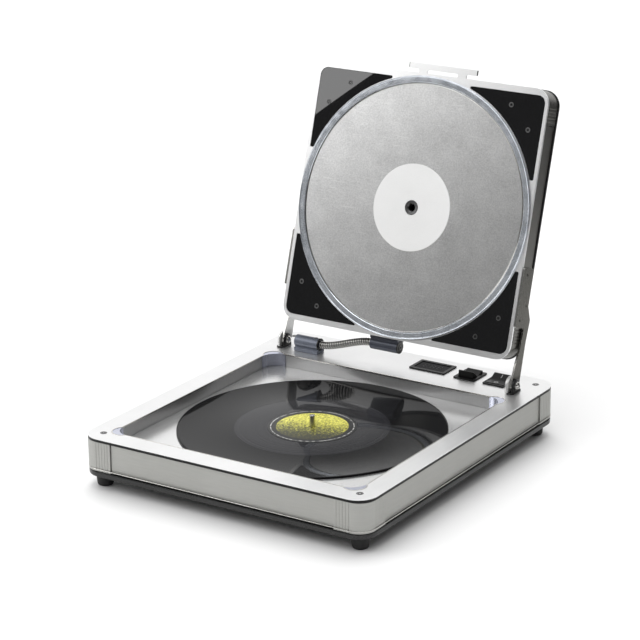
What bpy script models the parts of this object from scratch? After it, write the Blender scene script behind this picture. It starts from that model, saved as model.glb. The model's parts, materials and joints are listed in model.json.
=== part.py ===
"""Record flattening press: aluminium case with a tray for a 12-inch record and a
hinged lid that carries a round upper plate. Built at rest with the lid open."""
import math

import bmesh
import bpy
from mathutils import Matrix, Vector

MM = 0.001

# ---- driving dimensions, in millimetres ------------------------------------
FRAME_Y = -26.825         # base centre in the part frame, so the frame is centred on the open box
BASE_W, BASE_D = 366.6, 416.8
DECK_Z = 60.0
CORNER_R = 23.0
SKIN_T, CORE_T = 0.8, 2.8
POST_IN, POST_LEG, POST_R, POST_T = 1.1, 40.0, 22.0, 6.0
GROOVE_FIRST, GROOVE_PITCH, GROOVE_W, GROOVE_DEPTH, GROOVES = 20.9, 3.75, 1.1, 0.55, 5
POST_Z0, POST_Z1 = 21.9, 55.9
PANEL_IN, PANEL_T, PANEL_Z0 = 2.7, 2.6, 24.2
BOTTOM_Z0, BOTTOM_Z1 = 15.3, 21.6
FOOT_X, FOOT_Y, FOOT_R0, FOOT_R1 = 164.6, 189.3, 10.0, 8.7

RECORD_Y = -25.6
RECORD_R, RECORD_HOLE_R = 150.8, 3.65
FLOOR_Z = 44.5
TRAY_X, TRAY_Y0, TRAY_Y1 = 158.3, -183.6, 129.0
LOBE_IN, LOBE_R = 9.3, 13.2
LINER_R, LINER_WEB = 19.4, 0.7

HINGE_Y, HINGE_Z = 154.0, 68.6
LEAN = 17.04              # lid leans this far back from upright when open, degrees
PLATE_U = 179.6           # upper plate centre, distance from the hinge along the lid
PLATE_D = 21.4            # record face of the lid, distance in front of the hinge

LID_HX, LID_HU, LID_U0, LID_R = 153.0, 154.0, 0.6, 18.5
BEZEL_D0, BEZEL_D1 = 2.4, 5.4
BAND_D0, WALL_D1 = 5.7, 28.3
COVER_D0, COVER_D1 = 28.6, 32.2
RING_R0, RING_R1 = 144.3, 152.2
LID_POST_D0 = 8.0

ARM_X0, ARM_X1, PIN_R, EYE_R = 153.4, 155.8, 2.6, 6.5
SWITCH_Y, SWITCH_AXIS_Z = 176.0, 59.0
SELECT_X, POWER_X, DISPLAY_X, DISPLAY_Y = 86.3, 124.6, 35.3, 178.0
ROCK = 10.5               # a rocker rests this far from its middle position, degrees

for old in list(bpy.data.objects):
    bpy.data.objects.remove(old, do_unlink=True)

PARTS = bpy.data.collections.new("record_press")
bpy.context.scene.collection.children.link(PARTS)
TOOLS = bpy.data.collections.new("cutters")
bpy.context.scene.collection.children.link(TOOLS)

COLOURS = {
    "satin_silver": ((0.78, 0.78, 0.77), 0.9, 0.32),
    "anodised": ((0.62, 0.62, 0.60), 0.8, 0.38),
    "black_metal": ((0.02, 0.02, 0.02), 0.4, 0.35),
    "gloss_black": ((0.012, 0.012, 0.013), 0.0, 0.08),
    "black_plastic": ((0.02, 0.02, 0.02), 0.0, 0.4),
    "blue_grey": ((0.24, 0.26, 0.34), 0.2, 0.4),
    "polished": ((0.85, 0.85, 0.85), 1.0, 0.14),
    "steel": ((0.55, 0.53, 0.48), 1.0, 0.22),
    "rubber": ((0.015, 0.015, 0.015), 0.0, 0.7),
    "vinyl": ((0.015, 0.015, 0.017), 0.0, 0.15),
    "label_yellow": ((0.75, 0.70, 0.12), 0.0, 0.6),
    "white": ((0.86, 0.86, 0.85), 0.0, 0.5),
    "clear_ring": ((0.60, 0.66, 0.70), 0.0, 0.12),
    "board_green": ((0.03, 0.16, 0.08), 0.0, 0.5),
}


def material(name):
    made = bpy.data.materials.get(name)
    if made:
        return made
    made = bpy.data.materials.new(name)
    made.use_nodes = True
    colour, metal, rough = COLOURS[name]
    shader = made.node_tree.nodes["Principled BSDF"]
    shader.inputs["Base Color"].default_value = (*colour, 1.0)
    shader.inputs["Metallic"].default_value = metal
    shader.inputs["Roughness"].default_value = rough
    return made


# ---- two frames: base (z up) and lid (hinge at the origin, z towards the record) ----
def at_base(obj):
    obj.location = (0.0, FRAME_Y * MM, 0.0)


def at_lid(obj):
    obj.location = (0.0, (HINGE_Y + FRAME_Y) * MM, HINGE_Z * MM)
    obj.rotation_euler = (math.radians(90.0 - LEAN), 0.0, 0.0)


def keep(obj, name, colour, place=at_base, smooth=0.0):
    """Name a finished piece, give it its material and put it in its place."""
    obj.name = name
    obj.data.name = name
    obj.data.materials.clear()
    obj.data.materials.append(material(colour))
    for holder in list(obj.users_collection):
        holder.objects.unlink(obj)
    PARTS.objects.link(obj)
    if place:
        place(obj)
    if smooth:
        for face in obj.data.polygons:
            face.use_smooth = True
        obj.data.set_sharp_from_angle(angle=math.radians(smooth))
    return obj


# ---- outlines --------------------------------------------------------------
def arc(cx, cy, r, a0, a1, n):
    return [(cx + r * math.cos(math.radians(a0 + (a1 - a0) * i / n)),
             cy + r * math.sin(math.radians(a0 + (a1 - a0) * i / n))) for i in range(n + 1)]


def circle(cx, cy, r, n=48):
    return arc(cx, cy, r, 0.0, 360.0, n)[:-1]


def rrect(cx, cy, w, h, r, n=8):
    out = []
    for sx, sy, a in ((1, 1, 0), (-1, 1, 90), (-1, -1, 180), (1, -1, 270)):
        out += arc(cx + sx * (w / 2 - r), cy + sy * (h / 2 - r), r, a, a + 90, n)
    return out


def rounded(points, r, n=5):
    """Round the corners of a polygon; r is one radius or one per corner."""
    out = []
    count = len(points)
    for i, here in enumerate(points):
        rad = r[i] if isinstance(r, (list, tuple)) else r
        p = Vector(here)
        a = Vector(points[i - 1]) - p
        b = Vector(points[(i + 1) % count]) - p
        half = a.angle(b) / 2
        if rad <= 0 or half > math.radians(86):
            out.append(tuple(p))
            continue
        back = rad / math.tan(half)
        start, end = p + a.normalized() * back, p + b.normalized() * back
        centre = p + (a.normalized() + b.normalized()).normalized() * (rad / math.sin(half))
        v0, v1 = start - centre, end - centre
        turn = v0.angle_signed(v1)
        for k in range(n + 1):
            out.append(tuple(centre + Matrix.Rotation(-turn * k / n, 2) @ v0))
    return out


def mirrored(points, sx, sy):
    out = [(sx * x, sy * y) for x, y in points]
    return out if sx * sy > 0 else out[::-1]


# ---- solids ----------------------------------------------------------------
def to_mesh(obj):
    """Turn a curve or a modified object into a plain closed mesh object."""
    deps = bpy.context.evaluated_depsgraph_get()
    deps.update()
    mesh = bpy.data.meshes.new_from_object(obj.evaluated_get(deps), depsgraph=deps)
    made = bpy.data.objects.new(obj.name, mesh)
    made.matrix_world = obj.matrix_world.copy()
    PARTS.objects.link(made)
    bpy.data.objects.remove(obj, do_unlink=True)
    bm = bmesh.new()
    bm.from_mesh(mesh)
    bmesh.ops.remove_doubles(bm, verts=bm.verts, dist=1e-6)
    bmesh.ops.recalc_face_normals(bm, faces=bm.faces)
    bm.to_mesh(mesh)
    bm.free()
    return made


def prism(loops, z0, z1, clean=True):
    """Extrude a flat outline; the first loop is the edge, the others are holes."""
    curve = bpy.data.curves.new("outline", "CURVE")
    curve.dimensions = "2D"
    curve.fill_mode = "BOTH"
    curve.extrude = (z1 - z0) / 2 * MM
    for loop in loops:
        spline = curve.splines.new("POLY")
        spline.points.add(len(loop) - 1)
        for point, (x, y) in zip(spline.points, loop):
            point.co = (x * MM, y * MM, 0.0, 1.0)
        spline.use_cyclic_u = True
    obj = bpy.data.objects.new("prism", curve)
    PARTS.objects.link(obj)
    made = to_mesh(obj)
    made.data.transform(Matrix.Translation((0.0, 0.0, (z0 + z1) / 2 * MM)))
    if clean and len(loops) == 1:
        bm = bmesh.new()
        bm.from_mesh(made.data)
        bmesh.ops.dissolve_limit(bm, angle_limit=math.radians(0.5), verts=bm.verts,
                                 edges=bm.edges)
        bm.to_mesh(made.data)
        bm.free()
    return made


def box(x0, x1, y0, y1, z0, z1):
    return prism([[(x0, y0), (x1, y0), (x1, y1), (x0, y1)]], z0, z1)


def soften(obj, width, segments=2, angle=35.0):
    """Bevel the sharp edges of a finished piece."""
    mod = obj.modifiers.new("soft_edges", "BEVEL")
    mod.width = width * MM
    mod.segments = segments
    mod.limit_method = "ANGLE"
    mod.angle_limit = math.radians(angle)
    mod.use_clamp_overlap = True
    return to_mesh(obj)


def turned(profile, steps=48):
    """Profile points (radius, height) turned about Z with a Screw modifier."""
    mesh = bpy.data.meshes.new("turned")
    bm = bmesh.new()
    verts = [bm.verts.new((r * MM, 0.0, z * MM)) for r, z in profile]
    closed = profile[0][0] > 0 and profile[-1][0] > 0
    for a, b in zip(verts, verts[1:]):
        bm.edges.new((a, b))
    if closed:
        bm.edges.new((verts[-1], verts[0]))
    bm.to_mesh(mesh)
    bm.free()
    obj = bpy.data.objects.new("turned", mesh)
    PARTS.objects.link(obj)
    mod = obj.modifiers.new("turn", "SCREW")
    mod.axis = "Z"
    mod.steps = steps
    mod.render_steps = steps
    mod.use_merge_vertices = True
    mod.merge_threshold = 0.00001
    return to_mesh(obj)


def cylinder(x, y, z0, z1, r, n=32):
    return prism([circle(x, y, r, n)], z0, z1)


def turn(obj, axis, degrees, centre=(0.0, 0.0, 0.0)):
    c = Vector(centre) * MM
    obj.data.transform(Matrix.Translation(c) @ Matrix.Rotation(math.radians(degrees), 4, axis)
                       @ Matrix.Translation(-c))
    return obj


def shift(obj, x=0.0, y=0.0, z=0.0):
    obj.data.transform(Matrix.Translation((x * MM, y * MM, z * MM)))
    return obj


def bool_op(obj, others, operation):
    for other in others:
        for holder in list(other.users_collection):
            holder.objects.unlink(other)
        TOOLS.objects.link(other)
        other.hide_render = True
        other.display_type = "WIRE"
        mod = obj.modifiers.new("op", "BOOLEAN")
        mod.operation = operation
        mod.solver = "EXACT"
        mod.object = other
    made = to_mesh(obj)
    for other in others:
        bpy.data.objects.remove(other, do_unlink=True)
    bm = bmesh.new()
    bm.from_mesh(made.data)
    bmesh.ops.triangulate(bm, faces=[f for f in bm.faces if len(f.verts) > 4])
    bmesh.ops.dissolve_degenerate(bm, edges=bm.edges, dist=1e-6)
    bm.to_mesh(made.data)
    bm.free()
    return made


def join(first, *others):
    return bool_op(first, others, "UNION")


def cut(first, *others):
    return bool_op(first, others, "DIFFERENCE")


def x_prism(outline, x0, x1, n_holes=()):
    """Extrude an outline given as (y, z) along X."""
    made = prism([outline, *n_holes], 0.0, x1 - x0)
    made.data.transform(Matrix(((0, 0, 1, 0), (1, 0, 0, 0), (0, 1, 0, 0), (0, 0, 0, 1))))
    return shift(made, x=x0)


# ---- outlines used more than once ---------------------------------------------
def tray_outline(grow, lobe_grow):
    """The tray opening: a rectangle with a round relief at each corner."""
    x, y0, y1 = TRAY_X + grow, TRAY_Y0 - grow, TRAY_Y1 + grow
    cx, cy0, cy1 = TRAY_X - LOBE_IN, TRAY_Y0 + LOBE_IN, TRAY_Y1 - LOBE_IN
    r = LOBE_R + lobe_grow
    reach = math.degrees(math.acos((x - cx) / r))
    out = []
    for sx, cy, a in ((1, cy1, -reach), (-1, cy1, 90 - reach),
                      (-1, cy0, 180 - reach), (1, cy0, 270 - reach)):
        out += arc(sx * cx, cy, r, a, a + 90 + 2 * reach, 16)
    return out


def post_outline(reach):
    """Corner post profile: rounded outer corner, grooved faces; the corner is at (reach_x, reach_y)."""
    hx, hy = reach
    leg, t = POST_LEG - POST_IN, POST_T

    def face():
        run = []
        for i in reversed(range(GROOVES)):
            s = GROOVE_FIRST - POST_IN + GROOVE_PITCH * i
            run += [(s + GROOVE_W, 0), (s + GROOVE_W * 0.7, GROOVE_DEPTH),
                    (s + GROOVE_W * 0.3, GROOVE_DEPTH), (s, 0)]
        return run
    along = [(leg, t * 0.5), (leg, 0)] + face()
    out = [(hx - d, hy - s) for s, d in along]
    out += arc(hx - GROOVE_FIRST + POST_IN + 1.2, hy - GROOVE_FIRST + POST_IN + 1.2,
               GROOVE_FIRST - POST_IN - 1.2, 0, 90, 10)
    out += [(hx - s, hy - d) for s, d in reversed(along)]
    out += [(hx - leg + 5, hy - t * 0.5), (hx - leg + 5, hy - t), (hx - POST_R, hy - t)]
    out += arc(hx - POST_R, hy - POST_R, POST_R - t, 90, 0, 6)[1:-1]
    out += [(hx - t, hy - POST_R), (hx - t, hy - leg + 5), (hx - t * 0.5, hy - leg + 5)]
    return out


def corner_signs():
    return (("FL", -1, -1), ("FR", 1, -1), ("BL", -1, 1), ("BR", 1, 1))


# =============================== BASE ===============================
bezel_cuts = [(SELECT_X, SWITCH_Y, 22.4, 27.8), (POWER_X, SWITCH_Y, 26.8, 29.0),
              (DISPLAY_X, DISPLAY_Y, 43.0, 26.6)]
PAN_WALL, PAN_TOP = 2.0, DECK_Z - SKIN_T - 0.3


def deck_loops(grow, tray_grow):
    loops = [rrect(0, 0, BASE_W, BASE_D, CORNER_R, 10), tray_outline(tray_grow, tray_grow)]
    loops += [rrect(x, y, w + 2 * grow + 0.6, h + 2 * grow + 0.6, 1.2, 3) for x, y, w, h in bezel_cuts]
    return loops


skin = prism(deck_loops(0.0, 0.0), DECK_Z - SKIN_T, DECK_Z)
keep(skin, "top_skin", "satin_silver", smooth=30)
core = prism(deck_loops(0.3, PAN_WALL + 0.4), DECK_Z - SKIN_T - 0.2 - CORE_T, DECK_Z - SKIN_T - 0.2)
keep(core, "top_core", "black_metal", smooth=30)

hx, hy = BASE_W / 2 - POST_IN, BASE_D / 2 - POST_IN
for tag, sx, sy in corner_signs():
    post = prism([mirrored(post_outline((hx, hy)), sx, sy)], POST_Z0, POST_Z1)
    keep(post, "corner_post_" + tag, "anodised", smooth=25)

run_x, run_y = BASE_W / 2 - POST_LEG - 0.5, BASE_D / 2 - POST_LEG - 0.5
face_x, face_y = BASE_W / 2 - PANEL_IN, BASE_D / 2 - PANEL_IN
front = box(-run_x, run_x, -face_y, -face_y + PANEL_T, PANEL_Z0, POST_Z1)
keep(front, "front_panel", "anodised")
for tag, s in (("left", -1), ("right", 1)):
    lo, hi = sorted((s * face_x, s * (face_x - PANEL_T)))
    side = box(lo, hi, -run_y, run_y, PANEL_Z0, POST_Z1)
    keep(side, tag + "_panel", "anodised")

INLET_X, INLET_Z = -104.0, 39.6
FAN_X, FAN_Z = 96.0, 40.0
back = box(-run_x, run_x, face_y - PANEL_T, face_y, PANEL_Z0, POST_Z1)
inlet_hole = box(INLET_X - 15.2, INLET_X + 15.2, face_y - 6, face_y + 4, INLET_Z - 11.2, INLET_Z + 11.2)
slots = [box(FAN_X - 13 + 4.2 * i, FAN_X - 10.6 + 4.2 * i, face_y - 6, face_y + 4,
             FAN_Z - 11, FAN_Z + 11) for i in range(6)]
slots += [box(-20 + 4.2 * i, -17.6 + 4.2 * i, face_y - 6, face_y + 4, FAN_Z - 8, FAN_Z + 8)
          for i in range(8)]
back = cut(back, inlet_hole, *slots)
keep(back, "back_panel", "anodised")

bottom = soften(prism([rrect(0, 0, BASE_W, BASE_D, CORNER_R, 10)], BOTTOM_Z0, BOTTOM_Z1), 1.3, 2)
vents = [prism([rrect(s * 60.0, 150.0 + 7.0 * i, 70.0, 3.0, 1.4, 4)], BOTTOM_Z0 - 1, BOTTOM_Z1 + 1)
         for i in range(5) for s in (-1, 1)]
bottom = cut(bottom, *vents)
lip = prism([rrect(0, 0, BASE_W - 15.0, BASE_D - 15.0, 17, 6),
             rrect(0, 0, BASE_W - 19.0, BASE_D - 19.0, 15, 6)], BOTTOM_Z1 - 1.0, 24.7)
bottom = join(bottom, lip)
keep(bottom, "bottom_plate", "black_metal", smooth=35)

for tag, sx, sy in corner_signs():
    foot = turned([(0, 15.0), (FOOT_R0 - 0.4, 15.0), (FOOT_R0, 14.6), (FOOT_R1 + 0.25, 2.2),
                   (FOOT_R1 - 0.5, 0.7), (FOOT_R1 - 1.9, 0.0), (2.8, 0.0), (2.8, 3.0), (0, 3.0)], 20)
    foot.data.transform(Matrix.Translation((sx * FOOT_X * MM, sy * FOOT_Y * MM, 0)))
    keep(foot, "foot_" + tag, "rubber", smooth=40)

# tray: pan, heated lower plate, corner liners, spindle
pan = prism([tray_outline(PAN_WALL, PAN_WALL), tray_outline(0.0, 0.0)], FLOOR_Z - 2.0, PAN_TOP)
pan_floor = prism([tray_outline(PAN_WALL - 0.1, PAN_WALL - 0.1), circle(0, RECORD_Y, 6.0, 24)],
                  FLOOR_Z - 3.6, FLOOR_Z - 1.7)
pan = join(pan, pan_floor)
keep(pan, "tray_pan", "satin_silver", smooth=25)

lower = prism([rrect(0, (TRAY_Y0 + TRAY_Y1) / 2, 2 * TRAY_X - 0.8, TRAY_Y1 - TRAY_Y0 - 0.8, 1.0, 2),
               circle(0, RECORD_Y, 3.9, 24)], FLOOR_Z - 1.5, FLOOR_Z)
keep(lower, "lower_plate", "polished", smooth=30)

heater = prism([circle(0, RECORD_Y, 140.0, 64), circle(0, RECORD_Y, 12.0, 24)], FLOOR_Z - 6.6, FLOOR_Z - 3.9)
keep(heater, "lower_heater_mat", "rubber", smooth=30)

for tag, sx, sy in corner_signs():
    x, y = TRAY_X - 0.3, TRAY_Y1 - 0.3
    cx, cy = TRAY_X - LOBE_IN, TRAY_Y1 - LOBE_IN
    r = LOBE_R - 0.3
    reach = math.degrees(math.acos((x - cx) / r))
    ax, ay = x - LINER_WEB - LINER_R, y - LINER_WEB - LINER_R
    outline = [(x, ay)] + arc(cx, cy, r, -reach, 90 + reach, 18) + [(ax, y)]
    outline += arc(ax, ay, LINER_R, 90, 0, 16)
    if sy < 0:
        outline = [(px, py - (TRAY_Y0 + TRAY_Y1)) for px, py in outline]
    liner = prism([mirrored(outline, sx, sy)], FLOOR_Z + 0.3, DECK_Z - 0.2)
    keep(liner, "tray_liner_" + tag, "blue_grey", smooth=35)

spindle = turned([(0, DECK_Z + 0.2), (2.5, DECK_Z + 0.2), (3.05, DECK_Z - 0.3), (3.3, 53.0),
                  (3.58, 48.0), (3.58, FLOOR_Z - 1.9), (5.6, FLOOR_Z - 1.9),
                  (5.6, FLOOR_Z - 5.8), (0, FLOOR_Z - 5.8)], 32)
shift(spindle, y=RECORD_Y)
keep(spindle, "spindle", "polished", smooth=30)

# record and its label, turning on the spindle
record = turned([(RECORD_HOLE_R, 46.62), (50.0, 46.62), (51.0, 46.5), (146.5, 46.5),
                 (148.5, 46.8), (150.3, 46.75), (RECORD_R, 46.3), (RECORD_R, 45.3), (150.3, 44.85),
                 (148.5, 44.8), (146.5, 45.1), (51.0, 45.1), (50.0, 44.85), (RECORD_HOLE_R, 44.85)], 72)
keep(record, "record", "vinyl", smooth=30)
label = turned([(RECORD_HOLE_R, 46.9), (49.9, 46.9), (49.9, 46.67), (RECORD_HOLE_R, 46.67)], 48)
keep(label, "record_label", "label_yellow", smooth=30)
for obj in (record, label):
    obj.location = (0.0, (RECORD_Y + FRAME_Y) * MM, 0.0)

# deck controls
display = prism([rrect(DISPLAY_X, DISPLAY_Y, 47.4, 31.0, 1.6, 4)], DECK_Z + 0.2, DECK_Z + 1.5)
display = join(display, prism([rrect(DISPLAY_X, DISPLAY_Y, 43.0, 26.6, 1.0, 3)], 49.0, DECK_Z + 0.9))
display = cut(display, prism([rrect(DISPLAY_X, DISPLAY_Y, 39.4, 22.4, 0.8, 3)], 48.0, DECK_Z + 3))
keep(display, "display_bezel", "black_plastic", smooth=30)
window = prism([rrect(DISPLAY_X, DISPLAY_Y, 38.8, 21.8, 0.6, 3)], 55.4, DECK_Z + 0.7)
keep(window, "display_window", "gloss_black", smooth=30)


def switch_bezel(x, width, depth, flange_w, flange_d):
    frame = prism([rrect(x, SWITCH_Y, flange_w, flange_d, 1.6, 4)], DECK_Z + 0.2, DECK_Z + 1.5)
    cup = prism([rrect(x, SWITCH_Y, width + 1.8, depth + 1.6, 0.8, 3)], 42.0, DECK_Z + 0.9)
    opening = prism([rrect(x, SWITCH_Y, width, depth, 0.5, 2)], 43.6, DECK_Z + 3)
    return cut(join(frame, cup), opening)


def rocker(width, end, top, valley):
    """Rocker in its middle position with the hinge axis at the origin."""
    side = [(-end, top), (-end + 1.4, top + 0.25), (-2.2, valley + 0.25), (0, valley),
            (2.2, valley + 0.25), (end - 1.4, top + 0.25), (end, top), (end - 0.9, -3.0),
            (4.5, -6.5), (-4.5, -6.5), (-end + 0.9, -3.0)]
    return soften(x_prism(side[::-1], -width / 2, width / 2), 0.35, 1, 50)


keep(switch_bezel(SELECT_X, 20.6, 26.2, 28.2, 31.4), "selector_bezel", "black_plastic", smooth=30)
keep(switch_bezel(POWER_X, 25.0, 27.4, 28.0, 31.4), "power_bezel", "black_plastic", smooth=30)
selector = keep(rocker(19.8, 11.2, 7.6, 3.0), "selector_rocker", "black_plastic", place=None, smooth=30)
selector.location = (SELECT_X * MM, (SWITCH_Y + FRAME_Y) * MM, SWITCH_AXIS_Z * MM)
selector.rotation_euler = (math.radians(-ROCK), 0, 0)
power = keep(rocker(24.2, 12.5, 4.96, 2.2), "power_rocker", "black_plastic", place=None, smooth=30)
power.location = (POWER_X * MM, (SWITCH_Y + FRAME_Y) * MM, SWITCH_AXIS_Z * MM)
power.rotation_euler = (math.radians(ROCK), 0, 0)

# mains inlet in the back panel
inlet = box(INLET_X - 18.0, INLET_X + 18.0, face_y + 0.3, face_y + 2.8, INLET_Z - 13.4, INLET_Z + 13.4)
inlet = join(inlet, box(INLET_X - 14.8, INLET_X + 14.8, face_y - 20, face_y + 1.0,
                        INLET_Z - 10.8, INLET_Z + 10.8))
inlet = soften(inlet, 0.6, 1)
inlet = cut(inlet, box(INLET_X - 12.3, INLET_X + 12.3, face_y - 16, face_y + 4, INLET_Z - 8.4, INLET_Z + 8.4))
pins = [box(INLET_X - 1.0 + dx, INLET_X + 1.0 + dx, face_y - 17, face_y - 1.0,
            INLET_Z - 2.0 + dz, INLET_Z + 2.0 + dz) for dx, dz in ((-7, -1.5), (7, -1.5), (0, 2.5))]
inlet = join(inlet, *pins)
keep(inlet, "mains_inlet", "black_plastic")

# power and control board under the rear deck
board = box(-78, 78, 137, 196, 30.0, 31.6)
parts_on_board = [box(-70, -38, 144, 190, 31.0, 40.6), cylinder(-24, 156, 31.0, 38.5, 6.0, 20),
                  cylinder(-24, 176, 31.0, 38.5, 6.0, 20), box(-8, 14, 150, 182, 31.0, 39.0),
                  box(22, 30, 142, 160, 31.0, 38.0), box(40, 64, 144, 156, 31.0, 36.0)]
stand = [cylinder(sx * 73, y, BOTTOM_Z1 + 0.3, 30.5, 3.0, 16) for sx in (-1, 1) for y in (141, 192)]
board = join(board, *parts_on_board, *stand)
keep(board, "power_board", "board_green")

# cooling fan behind the back panel, turning about Y
FAN_Y0 = face_y - PANEL_T - 11.3
fan = prism([rrect(0, 0, 30, 30, 2.5, 3), circle(0, 0, 13.6, 32)], 0.0, 9.0)
hub_mount = prism([circle(0, 0, 4.4, 20)], 0.0, 1.4)
arms = [turn(prism([[(3.0, -1.0), (14.2, -1.0), (14.2, 1.0), (3.0, 1.0)]], 0.0, 1.4), "Z", a)
        for a in (45, 165, 285)]
fan = join(fan, hub_mount, *arms)
rotor = prism([circle(0, 0, 5.0, 24)], 1.8, 8.4)
blades = []
for i in range(7):
    blade = prism([rounded([(4.0, -0.5), (12.9, -0.5), (12.9, 0.5), (4.0, 0.5)], 0.2, 2)], 2.2, 7.8)
    turn(blade, "X", 28)
    shift(blade, z=5.0 * (1 - math.cos(math.radians(28))))
    blades.append(turn(blade, "Z", i * 360 / 7))
rotor = join(rotor, *blades)
for obj, name in ((fan, "fan_frame"), (rotor, "fan_rotor")):
    turn(obj, "X", -90)
    keep(obj, name, "black_plastic", place=None, smooth=25)
    obj.location = (FAN_X * MM, (FAN_Y0 + FRAME_Y) * MM, FAN_Z * MM)

# hinge brackets on the rear deck
for tag, s in (("L", -1), ("R", 1)):
    ear = [(HINGE_Y - 9.6, DECK_Z + 0.2)] + [(y, z) for y, z in arc(HINGE_Y, HINGE_Z, 9.6, 180, 0, 16)]
    ear += [(HINGE_Y + 9.6, DECK_Z + 0.2)]
    outer = [(HINGE_Y - 8.6, DECK_Z + 0.2)] + arc(HINGE_Y, HINGE_Z + 0.6, 8.6, 180, 0, 16)
    outer += [(HINGE_Y + 8.6, DECK_Z + 0.2)]
    inner_ear = x_prism(ear[::-1], 150.8, 153.0)
    outer_ear = x_prism(outer[::-1], 156.2, 158.4)
    web = box(151.5, 157.5, HINGE_Y - 8.6, HINGE_Y + 9.6, DECK_Z + 0.2, DECK_Z + 1.6)
    pin = x_prism(circle(HINGE_Y, HINGE_Z, PIN_R - 0.06, 32), 151.5, 159.0)
    head = x_prism(circle(HINGE_Y, HINGE_Z, 3.9, 24), 158.2, 160.6)
    nut = x_prism(circle(HINGE_Y, HINGE_Z, 4.6, 6), 148.6, 151.2)
    bracket = join(inner_ear, outer_ear, web, pin, head, nut)
    if s < 0:
        bracket.data.transform(Matrix.Scale(-1, 4, (1, 0, 0)))
        bracket.data.flip_normals()
    keep(bracket, "hinge_bracket_" + tag, "steel", smooth=30)


def gland(x0, x1, cy, cz, r, base):
    """Cable gland block: a barrel along X with a stepped base; base is the (y, z) outline."""
    body = x_prism(base, x0, x1)
    barrel = x_prism(circle(cy, cz, r, 32), x0, x1)
    return soften(join(body, barrel), 0.5, 1, 50)


GLAND_Y, GLAND_Z = 151.6, 71.0
deck_gland = gland(-136.0, -103.2, GLAND_Y, GLAND_Z, 7.4,
                   [(144.0, 60.3), (144.0, 64.6), (146.2, 64.6), (146.2, 71.5), (157.0, 71.5),
                    (157.0, 64.6), (159.2, 64.6), (159.2, 60.3)][::-1])
keep(deck_gland, "deck_gland", "blue_grey", smooth=30)

# =============================== LID ===============================
# lid frame: x across, u from the upper plate centre to the free edge, d back from the record face


def lid_prism(loops, d0, d1):
    made = prism(loops, -d1 + PLATE_D, -d0 + PLATE_D)
    return shift(made, y=PLATE_U)


def lid_turned(profile, steps):
    """Profile given as (radius, d)."""
    made = turned([(r, PLATE_D - d) for r, d in profile], steps)
    return shift(made, y=PLATE_U)


def lid_rect(inset, r, n=8):
    return rrect(0, LID_U0, 2 * (LID_HX - inset), 2 * (LID_HU - inset), r, n)


IN_X, IN_U0, IN_U1 = 149.0, -146.6, 147.2
PANEL_ARC_R, TIP, HOLE_R = 153.4, 52.0, 147.6


def corner_panel(sx, su, grow):
    """Outline of one glossy corner panel: two straight sides, a big arc and rounded tips."""
    x, u = IN_X - 0.3 + grow, (IN_U1 if su > 0 else -IN_U0) - 0.3 + grow
    r = PANEL_ARC_R - grow
    tip = TIP - grow
    a0, a1 = math.degrees(math.asin(tip / r)), math.degrees(math.acos(tip / r))
    inner = arc(0, 0, r, a0, a1, 14)
    points = inner + [(tip, u), (x, u), (x, tip)]
    radii = [1.8] + [0.0] * (len(inner) - 2) + [1.8, 1.6, 9.7, 1.6]
    return mirrored(rounded(points, radii, 6), sx, su)


signs = [(sx, su) for sx in (-1, 1) for su in (-1, 1)]
bezel = lid_prism([lid_rect(0.0, LID_R, 10), circle(0, 0, HOLE_R, 64)]
                  + [corner_panel(sx, su, 0.3) for sx, su in signs], BEZEL_D0, BEZEL_D1)
bezel = soften(bezel, 0.7, 1, 60)
keep(bezel, "lid_bezel", "satin_silver", at_lid, smooth=30)

for sx, su in signs:
    panel = lid_prism([corner_panel(sx, su, 0.0)], BEZEL_D0 + 0.4, BEZEL_D1)
    tag = ("B" if su > 0 else "A") + ("L" if sx < 0 else "R")
    keep(panel, "lid_corner_panel_" + tag, "gloss_black", at_lid, smooth=30)

# side band: diaphragm with walls, notched at the corners for the posts
wx, wi = LID_HX - 1.0, LID_HX - 7.4
wu, ui = LID_HU - 1.0, LID_HU - 7.4
nx, nu = LID_HX - 0.6 - (POST_LEG - POST_IN) - 0.6, LID_HU - 0.6 - (POST_LEG - POST_IN) - 0.6


def plus_outline(inset):
    """Side band outline: a rectangle notched at each corner (notches differ a hair, never in line)."""
    out = []
    for k, (sx, sy) in enumerate(((1, 1), (-1, 1), (-1, -1), (1, -1))):
        a, b, c = nu - inset - 0.04 * k, wi - inset - 0.03 * k, ui - inset - 0.05 * k
        n = nx - inset - 0.06 * k
        notch = [(b, a + 0.01)] + arc(b - 16.0, c - 16.0, 16.0, 0, 90, 5) + [(n, c + 0.02)]
        out += mirrored([(wx - inset, a)] + notch + [(n - 0.01, wu - inset)], sx, sy)
    return [(x, u + LID_U0) for x, u in out]


band = lid_prism([plus_outline(0.0), rrect(0, LID_U0, 2 * wi - 4, 2 * ui - 4, 14, 5)], BAND_D0 + 0.5, WALL_D1)
band = join(band, lid_prism([plus_outline(0.25), circle(0, 0, 10.0, 32)], BAND_D0, BAND_D0 + 1.5))
TAB_D0, TAB_D1, STEM_X = 26.2, 27.9, 31.4
tab_slot = lid_prism([[(-STEM_X - 0.4, 130), (STEM_X + 0.4, 130), (STEM_X + 0.4, 160),
                       (-STEM_X - 0.4, 160)]], TAB_D0 - 0.3, WALL_D1 + 2)
band = cut(band, tab_slot)
keep(band, "lid_side_band", "anodised", at_lid, smooth=25)

lhx, lhu = LID_HX - 0.6, LID_HU - 0.6
for sx, su in signs:
    outline = mirrored(post_outline((lhx, lhu)), sx, su)
    post = lid_prism([[(x, u + LID_U0) for x, u in outline]], LID_POST_D0, WALL_D1)
    tag = ("B" if su > 0 else "A") + ("L" if sx < 0 else "R")
    keep(post, "lid_post_" + tag, "anodised", at_lid, smooth=25)

cover = soften(lid_prism([lid_rect(-0.2, LID_R + 0.4, 10)], COVER_D0, COVER_D1), 0.9, 2)
keep(cover, "lid_cover", "black_metal", at_lid, smooth=30)

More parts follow.
